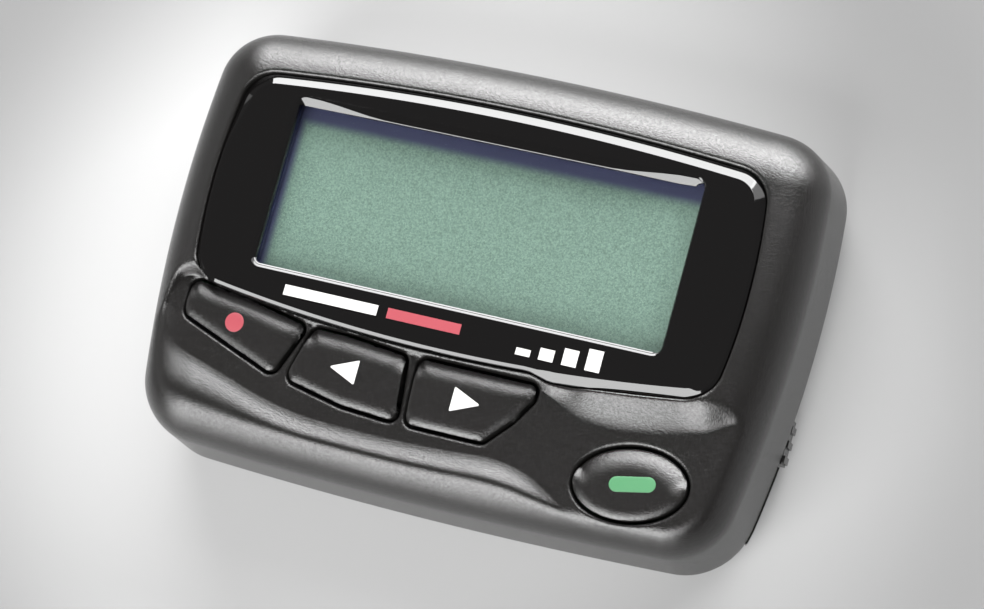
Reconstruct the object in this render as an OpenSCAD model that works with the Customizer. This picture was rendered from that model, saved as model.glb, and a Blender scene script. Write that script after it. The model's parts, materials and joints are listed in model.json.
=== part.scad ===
// Pocket alphanumeric pager, lying on its back.
// X runs along the display's rows, Y up the display and Z out of it.
// The origin is the centre of the back face, which is the face it rests on.

/* [Case] */
// Length of the case along the display
case_len = 76; // [75:0.5:80]
// Width of the case across the display
case_wid = 52.2; // [51.6:0.2:54]
// Thickness of the closed pager
case_thk = 19; // [19:0.1:20]
// Height of the parting line above the back
parting_z = 4.4; // [4.2:0.1:4.6]
// Corner radius of the outline
corner_r = 7.8; // [7:0.2:8.4]
// How far the ends bow out
end_bow = 1.05; // [0.4:0.05:1.4]
// How far the top side bows out
top_bow = 1.1; // [0.4:0.05:1.4]
// How far the bottom side bows out
bottom_bow = 0.7; // [0.3:0.05:1.2]
// Share by which the case is wider at its top edge than at its middle
taper = 0.028; // [0:0.002:0.03]
// Radius that rolls the front into the sides
front_round = 7.5; // [6.5:0.1:7.6]
// Radius round the back edge
back_round = 3; // [2:0.1:3.2]
// Wall thickness
wall = 1.5; // [1.4:0.05:1.6]

/* [Display] */
// Window in the lens border, length and width
window_size = [49.2, 20.4]; // [48:0.1:50]
// Middle of the window
window_mid = [-0.2, 6.15]; // [-1:0.05:7]
// Length of the lens border
lens_len = 64; // [63:0.2:64.4]
// Width of the lens border
lens_wid = 28.6; // [28.4:0.1:28.8]
// Middle of the lens border across the case
lens_mid_y = 5.3; // [5.2:0.05:5.4]
// Thickness of the lens border
lens_thk = 1.3; // [1.2:0.05:1.35]
// Liquid crystal glass, length and width
glass_size = [53.6, 22.4]; // [22.2:0.1:53.8]
// Thickness of each glass plate
glass_thk = 0.7; // [0.5:0.05:0.7]

/* [Keys] */
// How far a key travels
key_travel = 0.6; // [0.3:0.05:0.6]
// Gap between a key and its opening
key_gap = 0.3; // [0.3:0.01:0.4]
// Corner radius of the three arc keys
key_r = 0.9; // [0.6:0.05:1]
// Oval key, half length and half width
oval_half = [6.3, 4]; // [3.6:0.05:6.4]
// Tilt of the oval key, degrees
oval_tilt = 9.7; // [5:0.1:14]

/* [Battery and door] */
// Diameter of the AAA cell
cell_dia = 10.5; // [10:0.1:10.5]
// Length of the AAA cell
cell_len = 44.5; // [44:0.1:44.5]
// Thickness of the battery door
door_thk = 1.1; // [1:0.05:1.15]
// How far the door slides to come off
door_travel = 50; // [48:1:60]
// How far the latch slides
latch_travel = 2.5; // [1.5:0.1:2.8]

/* [Vibration motor] */
// Diameter of the motor can
motor_dia = 6; // [5:0.1:6]
// Length of the motor can
motor_len = 9; // [8:0.1:9.4]
// Diameter of the motor shaft
shaft_dia = 1; // [0.8:0.1:1.2]

/* [Screws] */
// Bore of a case screw boss
pilot_dia = 1.6; // [1.4:0.1:1.6]
// Diameter of a case screw's head
head_dia = 3.8; // [3.4:0.1:3.8]

/* [Hidden] */

$fn = 32;
eps = 0.02;
side_steps = 10;
corner_steps = 8;
round_steps = 8;
draft = 4.4;
back_draft = 10;
parting_gap = 0.2;
parting_step = 0.12;
cut = 10;
fit_gap = 0.1;

// Lens outline: how far its ends, top and bottom bow out, and the step in its lower edge
lens_bows = [0.6, 1.25, 1.95];
lens_r = 4;
step_drop = 0.8;
step_x = [10.3, 12.9];

// Levels of the front half
lens_top = case_thk - 0.35;
lens_seat = lens_top - lens_thk - 0.25;
floor_z = case_thk - 2;
cavity_top = floor_z - 1.4;
board_top = 13.55;
board_thk = 1;
board_bottom = board_top - board_thk;

// Display stack, from the board outwards
guide_z = [board_top + 0.15, board_top + 1.1];
rear_film_z = [guide_z.y + 0.03, guide_z.y + 0.15];
rear_glass_z = [rear_film_z.y + 0.03, rear_film_z.y + 0.03 + glass_thk];
front_glass_z = [rear_glass_z.y + 0.02, rear_glass_z.y + 0.02 + glass_thk];
front_film_z = [front_glass_z.y + 0.02, front_glass_z.y + 0.17];
frame_z = [front_film_z.y + 0.03, lens_seat + 0.19];
glass_mid = [0, window_mid.y - 0.1];
display_hole = [55, 23.2];
ledge = 1.3;
pane_margin = 1.1;
pane_z = [lens_top - lens_thk, lens_top - 0.7];
print_z = [lens_top + 0.01, lens_top + 0.04];
stripe_x = [-19.8, -8.4, -7.2, 1.6];
stripe_y = [-6.6, -5.4];
bar_min = [8.4, -7.3];
bar_wid = 1.7;
bar_pitch = 2.7;

// Keys: corner points of each arc key, then the openings round them
mute_pts = [[-30.45, -7.85], [-24.1, -8.7], [-17.85, -9.95], [-19.6, -14.3], [-30.35, -10.35]];
left_pts = [[-14.9, -10.2], [-11, -10.25], [-5.05, -10.85], [-4.45, -16.5], [-10, -16.15], [-16.1, -14.9]];
right_pts = [[-1.6, -10.8], [10.5, -10.8], [10.45, -11.35], [8.9, -13.85], [6.5, -16.5], [-1.35, -16.5]];
arc_keys = [mute_pts, left_pts, right_pts];
oval_mid = [24.35, -18.15];
lip = 0.8;
key_top = case_thk - 1.4;
flange_z = [cavity_top - 0.6, cavity_top - 0.15];
key_bottom = flange_z.x - 0.1;
mute_mid = [-24.9, -10.8];
left_mid = [-10.4, -13.2];
right_mid = [3.8, -13.6];
key_mids = [mute_mid, left_mid, right_mid, oval_mid];
mark_z = [key_top - 0.25, key_top + 0.03];
membrane_z = [board_top + 0.35, board_top + 0.65];
recess_pts = [
  [-32.3, -6.4], [-29.5, -5.6], [0, -8], [29.5, -6.4], [33, -9.5], [33.6, -16], [31.5, -21],
  [27, -22.9], [20, -23.2], [14, -21.6], [8, -20], [0, -19.8], [-8, -19.4], [-15, -18.5],
  [-22, -17], [-28, -15.2], [-32.1, -13.4]
];

// Battery compartment
cell_mid = [6.5, -15.6, 6.55];
bay_x = [-19.1, 30.3];
bay_half = 5.5;
bay_wall = 0.9;
bay_top = cell_mid.z + cell_dia / 2 + 0.12;
slot_half = 5.7;
groove_half = 6.4;
groove_z = [0.46, door_thk + 0.06];
flange_y = [-20.1, -10.9];
flange_x = 35.4;
pad_half = 2;
door_proud = 0.2;
door_x = bay_x.x - 0.5;

// Latch on the right end, closed at rest
latch_y = [-10.45, -5.2];
latch_z = [1.3, 3.9];
latch_x = 36.15;
rib_ys = [-9.8, -8.05, -6.3];
rib_wid = 0.8;
rib_x = 37.5;
stem_y = [-8.6, -6.6];
stem_z = [1.8, 3];
tongue_x = [34.3, 35.2];

// Motor, with its axis along Y
motor_mid = [-25, 0, 6.6];
motor_y = [-16.4, -16.4 + motor_len];
weight_y = [-20.9, -17.1];
weight_r = 2.85;

// Screws and boards
boss_r = 2.3;
boss_mids = [[-30.5, 18.5], [30.5, 18.5], [-31.2, -18.8]];
boss_depth = 13.2;
post_mids = [[-31, 5], [31, 5]];
post_r = 1.7;
board_inset = 3.1;
rf_min = [-10, -6];
rf_size = [36, 26];
rf_z = [6, 6.8];
buzzer_mid = [-19.5, 12];
buzzer_r = 5.5;
label_min = [-24, -4];
label_size = [48, 20];
chip_rows = [[-24, 18], [-18, 18.4], [-6, 17.6], [14, 18], [22, 17], [-28, -4], [-3, -4], [20, 2]];

// Quarter outline from the end's middle to the side's middle, for a core of half size a by b.
function quarter(a, b, bow_a, bow_b, r) =
  let (cx = a - bow_a, cy = b - bow_b, wa = atan(2 * bow_a / cy), wb = 90 - atan(2 * bow_b / cx))
  concat(
    [for (i = [0 : side_steps]) let (u = i / side_steps, n = [1, 2 * bow_a * u / cy])
      [a - bow_a * u * u, cy * u] + r * n / norm(n)],
    [for (i = [1 : corner_steps - 1]) let (w = wa + (wb - wa) * i / corner_steps)
      [cx + r * cos(w), cy + r * sin(w)]],
    [for (i = [side_steps : -1 : 0]) let (u = i / side_steps, n = [2 * bow_b * u / cx, 1])
      [cx * u, b - bow_b * u * u] + r * n / norm(n)]
  );

// Closed outline of a rounded rectangle with bowed sides, moved in by inset.
function bowed_ring(half, bows, r, k, inset) =
  let (
    core = half - [r, r],
    rr = max(r - inset, eps),
    up = quarter(core.x, core.y, bows[0], bows[1], rr),
    dn = quarter(core.x, core.y, bows[0], bows[2], rr),
    last = len(up) - 1,
    ring = concat(
      up,
      [for (i = [last - 1 : -1 : 0]) [-up[i].x, up[i].y]],
      [for (i = [1 : last]) -dn[i]],
      [for (i = [last - 1 : -1 : 1]) [dn[i].x, -dn[i].y]]
    )
  )
  [for (p = ring) [p.x * (1 + k * p.y / half.y), p.y]];

function case_ring(inset) =
  bowed_ring([case_len, case_wid] / 2, [end_bow, top_bow, bottom_bow], corner_r, taper, inset);

// The lens border's lower edge steps down to the right of the arc keys.
function lens_step(p) =
  p.y > 0 ? 0 : step_drop * min(max((p.x - step_x.x) / (step_x.y - step_x.x), 0), 1);

function lens_ring(inset) =
  [for (p = bowed_ring([lens_len, lens_wid] / 2, lens_bows, lens_r, 0, inset))
    [p.x, p.y + lens_mid_y - lens_step(p)]];

function ellipse_pts(half, mid, tilt) =
  [for (i = [0 : 47]) let (w = i * 7.5, x = half.x * cos(w), y = half.y * sin(w))
    mid + [x * cos(tilt) - y * sin(tilt), x * sin(tilt) + y * cos(tilt)]];

// Inset and height down the front's side, for a skin moved in by t.
front_mid_z = case_thk - front_round;
front_mid_in = (front_mid_z - parting_z) * tan(draft) + front_round / cos(draft);
function front_profile(t) = concat(
  [[t, parting_z]],
  [for (i = [0 : round_steps]) let (w = draft + (90 - draft) * i / round_steps)
    [front_mid_in - (front_round - t) * cos(w), front_mid_z + (front_round - t) * sin(w)]]
);

back_mid_in = parting_step + (parting_z - back_round) * tan(back_draft)
  + back_round / cos(back_draft);
function back_profile(t) = concat(
  [[parting_step + t, parting_z - parting_gap]],
  [for (i = [0 : 4]) let (w = back_draft + (90 - back_draft) * i / 4)
    [back_mid_in - (back_round - t) * cos(w), back_round - (back_round - t) * sin(w)]]
);

module slab(pts, z) {
  translate([0, 0, z.x])
    linear_extrude(z.y - z.x)
      polygon(pts);
}

module box(low, high) {
  translate(low)
    cube(high - low);
}

module plate(mid, size, z) {
  translate([mid.x - size.x / 2, mid.y - size.y / 2, z.x])
    cube([size.x, size.y, z.y - z.x]);
}

module rod(mid, r, z) {
  translate([mid.x, mid.y, z.x])
    cylinder(r = r, h = z.y - z.x);
}

module key_outline(pts, grow) {
  hull()
    for (p = pts)
      translate(p)
        circle(r = key_r + grow);
}

// Front half
module front_skin() {
  hull()
    for (s = front_profile(0))
      slab(case_ring(s.x), s.y > parting_z ? [s.y - eps, s.y] : [s.y, s.y + eps]);
}

module front_cavity() {
  hull()
    for (s = front_profile(wall))
      let (z = min(s.y, cavity_top))
        slab(case_ring(s.x), s.y > parting_z ? [z - eps, z] : [z - 1, z]);
}

module front_case() {
  color("#2b2928")
    difference() {
      union() {
        difference() {
          front_skin();
          front_cavity();
        }
        for (p = boss_mids)
          rod(p, boss_r, [parting_z + 0.6, cavity_top + 0.5]);
        for (p = post_mids)
          rod(p, post_r, [board_top + 0.05, cavity_top + 0.5]);
      }
      slab(lens_ring(-fit_gap), [lens_seat, case_thk + 1]);
      plate(glass_mid, display_hole, [cavity_top - 1, case_thk]);
      slab(recess_pts, [floor_z, case_thk + 1]);
      for (pts = arc_keys)
        translate([0, 0, cavity_top - 1])
          linear_extrude(cut)
            key_outline(pts, key_gap);
      slab(ellipse_pts(oval_half + [key_gap, key_gap], oval_mid, oval_tilt),
        [cavity_top - 1, case_thk]);
      for (p = boss_mids)
        rod(p, pilot_dia / 2, [parting_z, boss_depth]);
      for (p = post_mids)
        rod(p, 0.6, [board_top, cavity_top]);
    }
}

module lens_border() {
  color("#161413")
    difference() {
      slab(lens_ring(0), [lens_top - lens_thk, lens_top]);
      plate(window_mid, window_size, [0, case_thk]);
      plate(window_mid, window_size + 2.2 * [pane_margin, pane_margin], [0, pane_z.y + 0.02]);
    }
}

module window_pane() {
  color("#dfe8e4", 0.35)
    plate(window_mid, window_size + 2 * [pane_margin, pane_margin], pane_z);
}

module lens_adhesive() {
  color("#3a3a3c")
    difference() {
      slab(lens_ring(0.4), [lens_seat + 0.02, lens_seat + 0.2]);
      plate(glass_mid, display_hole + [0.3, 0.3], [0, case_thk]);
    }
}

// Plain stripes and a signal-strength sign, thin prints on the border's face
module border_mark() {
  color("#f2f0ee") {
    box([stripe_x[0], stripe_y.x, print_z.x], [stripe_x[1], stripe_y.y, print_z.y]);
    for (i = [0 : 3])
      box([bar_min.x + bar_pitch * i, bar_min.y, print_z.x],
        [bar_min.x + bar_pitch * i + bar_wid, bar_min.y + 0.8 + 0.55 * i, print_z.y]);
  }
}

module border_stripe() {
  color("#d9545f")
    box([stripe_x[2], stripe_y.x, print_z.x], [stripe_x[3], stripe_y.y, print_z.y]);
}

// Display
module lcd_frame() {
  color("#1d2036")
    difference() {
      plate(glass_mid, display_hole - [0.4, 0.4], frame_z);
      plate(window_mid, window_size - [0.8, 0.8], [0, case_thk]);
    }
}

module front_polarizer() {
  color("#85af9b")
    plate(glass_mid, glass_size - [1.2, 0.8], front_film_z);
}

module lcd_front_glass() {
  color("#a9c4b6", 0.5)
    plate(glass_mid, glass_size, front_glass_z);
}

module lcd_rear_glass() {
  color("#a9c4b6", 0.5)
    plate(glass_mid, glass_size + [0, 2 * ledge], rear_glass_z);
}

module rear_polarizer() {
  color("#8aa79a")
    plate(glass_mid, glass_size - [1.2, 0.8], rear_film_z);
}

module light_guide() {
  color("#e8ece6", 0.6)
    plate(glass_mid, glass_size - [3, 0.4], guide_z);
}

module backlight_leds() {
  color("#f4f1d8")
    for (s = [-1, 1])
      plate(glass_mid + [glass_size.x / 2 - 0.7, 6 * s], [1.2, 2.4], [board_top + 0.02, guide_z.y]);
}

module zebra_strips() {
  color("#c9c4b8")
    for (s = [-1, 1])
      plate(glass_mid + [0, s * (glass_size.y / 2 + 0.65)], [50, 1],
        [board_top + 0.02, rear_glass_z.x - 0.02]);
}

// Boards and what is on them
module main_board() {
  color("#2f6b3c")
    difference() {
      slab(case_ring(board_inset), [board_bottom, board_top]);
      for (p = boss_mids)
        rod(p, boss_r + 0.4, [0, case_thk]);
      for (p = post_mids)
        rod(p, 0.8, [0, case_thk]);
    }
}

module rf_board() {
  color("#2f6b3c")
    box([rf_min.x, rf_min.y, rf_z.x], [rf_min.x + rf_size.x, rf_min.y + rf_size.y, rf_z.y]);
}

module board_connector() {
  color("#1b1b1b")
    box([-9.4, -4, rf_z.y + 0.02], [-6.4, 14, board_bottom - 0.02]);
}

module processor_ic() {
  color("#202022")
    plate([8, 10], [12, 12], [board_bottom - 1.6, board_bottom - 0.02]);
}

module memory_ic() {
  color("#202022")
    plate([-16, 2], [5.2, 4], [board_bottom - 1.5, board_bottom - 0.02]);
}

module receiver_ic() {
  color("#202022")
    plate([4, 6], [6.5, 6.5], [rf_z.y + 0.02, rf_z.y + 1.2]);
}

module rf_shield() {
  color("#c5c7c9")
    difference() {
      plate([6, 7], [20, 17], [rf_z.y + 0.02, rf_z.y + 3]);
      plate([6, 7], [19.4, 16.4], [rf_z.x, rf_z.y + 2.7]);
    }
}

module crystal_can() {
  color("#d4d5d6")
    box([19, 10, rf_z.y + 0.02], [24, 18, rf_z.y + 2.8]);
}

module trimmer_capacitor() {
  color("#b9934a")
    difference() {
      rod([21.5, 2], 2, [rf_z.y + 0.02, rf_z.y + 2.2]);
      box([19.5, 1.75, rf_z.y + 1.7], [23.5, 2.25, case_thk]);
    }
}

module chip_parts() {
  color("#8d7a5c")
    for (p = chip_rows, i = [0 : 1])
      plate(p + [0, 2 * i], [1.6, 0.8], [board_bottom - 0.75, board_bottom - 0.02]);
}

module backup_cell() {
  color("#c9cbcc")
    rod([-16, -4.2], 3.2, [board_bottom - 2.2, board_bottom - 0.02]);
}

module loop_antenna() {
  color("#c98b4b")
    difference() {
      box([-27.2, 0, 5.5], [27.2, 21.6, 11.3]);
      box([-26.8, -1, 5], [26.8, 21.2, 12]);
    }
}

module buzzer() {
  color("#1e1e20")
    difference() {
      rod(buzzer_mid, buzzer_r, [2.1, 6.6]);
      rod(buzzer_mid, 1, [2, 3.4]);
    }
}

module buzzer_seal() {
  color("#48484a")
    difference() {
      rod(buzzer_mid, 5.2, [wall + 0.02, 2.08]);
      rod(buzzer_mid, 3.8, [0, 3]);
    }
}

module dome_switches() {
  color("#c8cacb")
    for (p = key_mids)
      translate([p.x, p.y, board_top + 0.02])
        cylinder(r1 = 2, r2 = 1.2, h = 0.3);
}

module key_membrane() {
  color("#6d6d6f")
    difference() {
      box([-31.8, -20.6, membrane_z.x], [31, -9.2, membrane_z.y]);
      for (p = boss_mids)
        rod(p, boss_r + 0.3, [0, case_thk]);
    }
}

// Keys: the cap, the lips that hold it under the case, and its stem
module arc_key(pts, mid) {
  translate([0, 0, flange_z.x])
    linear_extrude(key_top - flange_z.x)
      key_outline(pts, 0);
  translate([0, 0, flange_z.x])
    linear_extrude(flange_z.y - flange_z.x)
      key_outline([for (p = pts, s = [-lip, lip]) p + [0, s]], 0);
  rod(mid, 1.5, [key_bottom, flange_z.y]);
}

module mute_key() {
  color("#302e2d")
    difference() {
      arc_key(mute_pts, mute_mid);
      rod(mute_mid, 1.15, [mark_z.x - eps, case_thk]);
    }
}

module mute_dot() {
  color("#e8606c")
    rod(mute_mid, 1.12, mark_z);
}

module arrow_shape(mid, dir, grow) {
  translate(mid)
    polygon([[1.85 * dir + grow * dir, 0], [-1.3 * dir, 1.35 + grow], [-1.3 * dir, -1.35 - grow]]);
}

module left_key() {
  color("#302e2d")
    difference() {
      arc_key(left_pts, left_mid);
      translate([0, 0, mark_z.x - eps])
        linear_extrude(cut)
          arrow_shape(left_mid, -1, 0.05);
    }
}

module left_arrow() {
  color("#f4f2f0")
    translate([0, 0, mark_z.x])
      linear_extrude(mark_z.y - mark_z.x)
        arrow_shape(left_mid, -1, 0);
}

module right_key() {
  color("#302e2d")
    difference() {
      arc_key(right_pts, right_mid);
      translate([0, 0, mark_z.x - eps])
        linear_extrude(cut)
          arrow_shape(right_mid, 1, 0.05);
    }
}

module right_arrow() {
  color("#f4f2f0")
    translate([0, 0, mark_z.x])
      linear_extrude(mark_z.y - mark_z.x)
        arrow_shape(right_mid, 1, 0);
}

module dash_shape(grow) {
  translate([oval_mid.x + 0.45, oval_mid.y])
    rotate(oval_tilt + 2)
      hull()
        for (s = [-1, 1])
          translate([1.75 * s, 0])
            circle(r = 0.85 + grow);
}

module select_key() {
  color("#302e2d")
    difference() {
      union() {
        slab(ellipse_pts(oval_half, oval_mid, oval_tilt), [flange_z.x, key_top]);
        slab(ellipse_pts(oval_half + [lip, -0.6], oval_mid, oval_tilt), flange_z);
        rod(oval_mid, 1.5, [key_bottom, flange_z.y]);
      }
      translate([0, 0, mark_z.x - eps])
        linear_extrude(cut)
          dash_shape(0.05);
    }
}

module select_dash() {
  color("#6fcf8c")
    translate([0, 0, mark_z.x])
      linear_extrude(mark_z.y - mark_z.x)
        dash_shape(0);
}

// Vibration motor
module along_y(r, y, z = motor_mid.z) {
  translate([motor_mid.x, y.y, z])
    rotate([90, 0, 0])
      cylinder(r = r, h = y.y - y.x);
}

module motor_can() {
  color("#bfc1c3")
    difference() {
      along_y(motor_dia / 2, motor_y);
      along_y(shaft_dia / 2 + 0.05, [motor_y.x - 1, motor_y.x + 3]);
    }
}

module motor_boot() {
  color("#3c3c3e")
    difference() {
      box([motor_mid.x - 3.8, motor_y.x + 1.4, wall + 0.02], [motor_mid.x + 3.8, motor_y.y - 1, 10.4]);
      along_y(motor_dia / 2 + 0.02, motor_y);
    }
}

module motor_shaft() {
  color("#d8d9da")
    along_y(shaft_dia / 2, [weight_y.x - 0.4, motor_y.x + 2.9]);
}

module eccentric_weight() {
  color("#a9a79f")
    difference() {
      along_y(weight_r, weight_y);
      box([motor_mid.x - cut, weight_y.x - 1, motor_mid.z + 0.9],
        [motor_mid.x + cut, weight_y.y + 1, motor_mid.z + cut]);
      along_y(shaft_dia / 2 + 0.01, [weight_y.x - 1, weight_y.y + 1]);
    }
}

// Battery, contacts, door and latch
module along_x(r, x) {
  translate([x.x, cell_mid.y, cell_mid.z])
    rotate([0, 90, 0])
      cylinder(r = r, h = x.y - x.x);
}

module aaa_cell() {
  color("#c4c6c8") {
    along_x(cell_dia / 2 - 0.2, [cell_mid.x - cell_len / 2, cell_mid.x + cell_len / 2 - 1]);
    along_x(1.9, [cell_mid.x + cell_len / 2 - 1, cell_mid.x + cell_len / 2]);
  }
}

module cell_sleeve() {
  color("#3b5a7a")
    difference() {
      along_x(cell_dia / 2, [cell_mid.x - cell_len / 2 + 0.6, cell_mid.x + cell_len / 2 - 1.6]);
      along_x(cell_dia / 2 - 0.18, [cell_mid.x - cell_len, cell_mid.x + cell_len]);
    }
}

// Conical coil of round wire, swept ring by ring along X
coil_turns = 4;
coil_sides = 6;
coil_rings = coil_turns * 10;
coil_x = [bay_x.x + 0.35, cell_mid.x - cell_len / 2 - 0.35];
wire_r = 0.28;
function coil_pts() =
  [for (i = [0 : coil_rings], j = [0 : coil_sides - 1])
    let (
      u = i / coil_rings,
      w = 360 * coil_turns * u,
      r = 4 - 2.2 * u + wire_r * cos(360 * j / coil_sides),
      x = coil_x.x + (coil_x.y - coil_x.x) * u + wire_r * sin(360 * j / coil_sides)
    )
    [x, cell_mid.y + r * cos(w), cell_mid.z + r * sin(w)]];

module negative_spring() {
  faces = concat(
    [[for (j = [0 : coil_sides - 1]) j]],
    [for (i = [0 : coil_rings - 1], j = [0 : coil_sides - 1])
      let (a = i * coil_sides, b = a + coil_sides, k = (j + 1) % coil_sides)
        [a + j, b + j, b + k, a + k]],
    [[for (j = [coil_sides - 1 : -1 : 0]) coil_rings * coil_sides + j]]
  );
  color("#cfd1d2")
    polyhedron(coil_pts(), faces);
}

module positive_contact() {
  color("#cfd1d2") {
    box([bay_x.y - 0.4, cell_mid.y - 3.5, 3], [bay_x.y - 0.05, cell_mid.y + 3.5, 10.5]);
    along_x(1.4, [cell_mid.x + cell_len / 2 + 0.02, bay_x.y - 0.2]);
  }
}

module back_skin(t) {
  hull()
    for (s = back_profile(t))
      slab(case_ring(s.x), s.y > parting_z / 2 ? [s.y - eps, s.y] : [s.y, s.y + eps]);
}

module battery_door() {
  y = cell_mid.y;
  color("#2b2928")
    intersection() {
      hull()
        for (s = back_profile(-door_proud))
          let (z = max(s.y, eps))
            slab(case_ring(s.x), [z - eps, z]);
      union() {
        box([door_x, y - slot_half + fit_gap, 0], [case_len, y + slot_half - fit_gap, door_thk]);
        box([door_x, y - groove_half + fit_gap, groove_z.x + 0.06],
          [case_len, y + groove_half - fit_gap, door_thk]);
        box([flange_x, flange_y.x, 0], [case_len, flange_y.y, parting_z - parting_gap]);
      }
    }
}

module door_pad() {
  color("#58585a")
    box([-6, cell_mid.y - pad_half, door_thk + 0.01], [18, cell_mid.y + pad_half, door_thk + 0.16]);
}

module latch_slider() {
  color("#262423") {
    box([latch_x, latch_y.x, latch_z.x], [latch_x + 1.1, latch_y.y, latch_z.y]);
    for (y = rib_ys)
      box([latch_x + 1, y - rib_wid / 2, latch_z.x + 0.1], [rib_x, y + rib_wid / 2, latch_z.y - 0.1]);
    box([tongue_x.y - 0.1, stem_y.x, stem_z.x], [latch_x + 0.1, stem_y.y, stem_z.y]);
    box([tongue_x.x, latch_y.x + 0.3, stem_z.x - 0.3], [tongue_x.y, latch_y.y, stem_z.y + 0.3]);
  }
}

// Rear half
module bay_walls() {
  y = cell_mid.y;
  difference() {
    box([bay_x.x - bay_wall, y - bay_half - bay_wall, wall / 2],
      [bay_x.y + bay_wall, y + bay_half + bay_wall, bay_top + 0.45]);
    box([bay_x.x, y - bay_half, -1], [bay_x.y, y + bay_half, bay_top]);
  }
}

module rear_case() {
  y = cell_mid.y;
  color("#242221")
    difference() {
      union() {
        difference() {
          back_skin(0);
          back_skin(wall);
        }
        difference() {
          slab(case_ring(wall + 0.25), [parting_z - 1.4, parting_z + 1]);
          slab(case_ring(wall + 0.9), [0, case_thk]);
        }
        bay_walls();
        for (p = boss_mids)
          rod(p, boss_r, [wall / 2, parting_z + 0.5]);
      }
      // Battery bay, door slot, its side grooves and the notch for the door's end
      box([bay_x.x, y - bay_half, -1], [bay_x.y, y + bay_half, bay_top]);
      box([door_x - 0.2, y - slot_half, -1], [case_len, y + slot_half, groove_z.y]);
      box([door_x - 0.2, y - groove_half, groove_z.x], [case_len, y + groove_half, groove_z.y]);
      box([bay_x.x, y - pad_half - 0.3, -1], [case_len, y + pad_half + 0.3, door_thk + 0.35]);
      box([flange_x - 0.2, flange_y.x - 0.2, -1], [case_len, flange_y.y + 0.2, case_thk]);
      // Latch pocket and the slot for its stem
      box([latch_x - 0.1, latch_y.x - 0.12, latch_z.x - 0.1],
        [case_len, latch_y.y + latch_travel + 0.2, case_thk]);
      box([tongue_x.x - 0.2, stem_y.x - 0.2, stem_z.x - 0.15],
        [case_len, stem_y.y + latch_travel + 0.2, stem_z.y + 0.15]);
      box([tongue_x.x - 0.1, latch_y.x - 0.1, stem_z.x - 0.4],
        [tongue_x.y + 0.05, latch_y.y + latch_travel + 0.2, stem_z.y + 0.4]);
      // Screw holes, sound holes and label recess
      for (p = boss_mids) {
        rod(p, pilot_dia / 2 + 0.3, [-1, case_thk]);
        rod(p, head_dia / 2 + 0.2, [-1, 1.6]);
      }
      for (w = [0 : 60 : 300])
        rod(buzzer_mid + 2.2 * [cos(w), sin(w)], 0.6, [-1, wall + 1]);
      box([label_min.x, label_min.y, -1],
        [label_min.x + label_size.x, label_min.y + label_size.y, 0.3]);
    }
}

// Fasteners and label
module case_screws() {
  color("#b8babc")
    for (p = boss_mids)
      difference() {
        union() {
          rod(p, head_dia / 2, [0.3, 1.58]);
          rod(p, pilot_dia / 2 - 0.02, [1.5, 10]);
        }
        plate(p, [2.2, 0.4], [0, 0.8]);
        plate(p, [0.4, 2.2], [0, 0.8]);
      }
}

module board_screws() {
  color("#b8babc")
    for (p = post_mids) {
      rod(p, 1.4, [board_bottom - 0.8, board_bottom - 0.02]);
      rod(p, 0.58, [board_bottom - 0.1, cavity_top - 0.5]);
    }
}

module back_label() {
  color("#d9d9d6")
    difference() {
      box([label_min.x + 0.2, label_min.y + 0.2, 0.08],
        [label_min.x + label_size.x - 0.2, label_min.y + label_size.y - 0.2, 0.28]);
      rod(buzzer_mid, 3.4, [-1, 1]);
    }
}

front_case();
rear_case();
lens_border();
window_pane();
lens_adhesive();
border_mark();
border_stripe();
lcd_frame();
front_polarizer();
lcd_front_glass();
lcd_rear_glass();
rear_polarizer();
light_guide();
backlight_leds();
zebra_strips();
main_board();
rf_board();
board_connector();
processor_ic();
memory_ic();
receiver_ic();
rf_shield();
crystal_can();
trimmer_capacitor();
chip_parts();
backup_cell();
loop_antenna();
buzzer();
buzzer_seal();
dome_switches();
key_membrane();
mute_key();
mute_dot();
left_key();
left_arrow();
right_key();
right_arrow();
select_key();
select_dash();
motor_can();
motor_boot();
motor_shaft();
eccentric_weight();
aaa_cell();
cell_sleeve();
negative_spring();
positive_contact();
battery_door();
door_pad();
latch_slider();
case_screws();
board_screws();
back_label();
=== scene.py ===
import json
import math

import bpy
import numpy as np
from mathutils import Matrix, Vector, geometry


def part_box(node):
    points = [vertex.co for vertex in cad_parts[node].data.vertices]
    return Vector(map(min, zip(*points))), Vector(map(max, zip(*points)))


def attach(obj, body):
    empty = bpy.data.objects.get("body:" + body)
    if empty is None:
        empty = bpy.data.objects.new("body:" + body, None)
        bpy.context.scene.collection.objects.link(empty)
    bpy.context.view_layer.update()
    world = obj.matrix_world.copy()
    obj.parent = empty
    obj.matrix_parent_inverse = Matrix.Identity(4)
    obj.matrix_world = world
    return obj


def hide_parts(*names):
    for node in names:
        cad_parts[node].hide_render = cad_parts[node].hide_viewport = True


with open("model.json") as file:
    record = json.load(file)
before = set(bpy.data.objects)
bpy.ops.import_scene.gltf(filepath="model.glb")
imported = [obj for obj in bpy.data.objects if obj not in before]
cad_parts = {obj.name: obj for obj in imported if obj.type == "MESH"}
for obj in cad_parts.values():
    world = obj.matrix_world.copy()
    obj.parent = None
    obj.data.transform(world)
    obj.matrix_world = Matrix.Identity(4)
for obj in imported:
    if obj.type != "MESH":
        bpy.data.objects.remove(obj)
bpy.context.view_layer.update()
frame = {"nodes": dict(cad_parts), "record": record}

nodes = frame["nodes"]

# Sizes in millimetres, in the CAD's frame. Those that the frame holds are read from it.
MM = 0.001


def box_mm(node):
    low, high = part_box(node)
    return np.array(low) / MM, np.array(high) / MM


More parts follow.
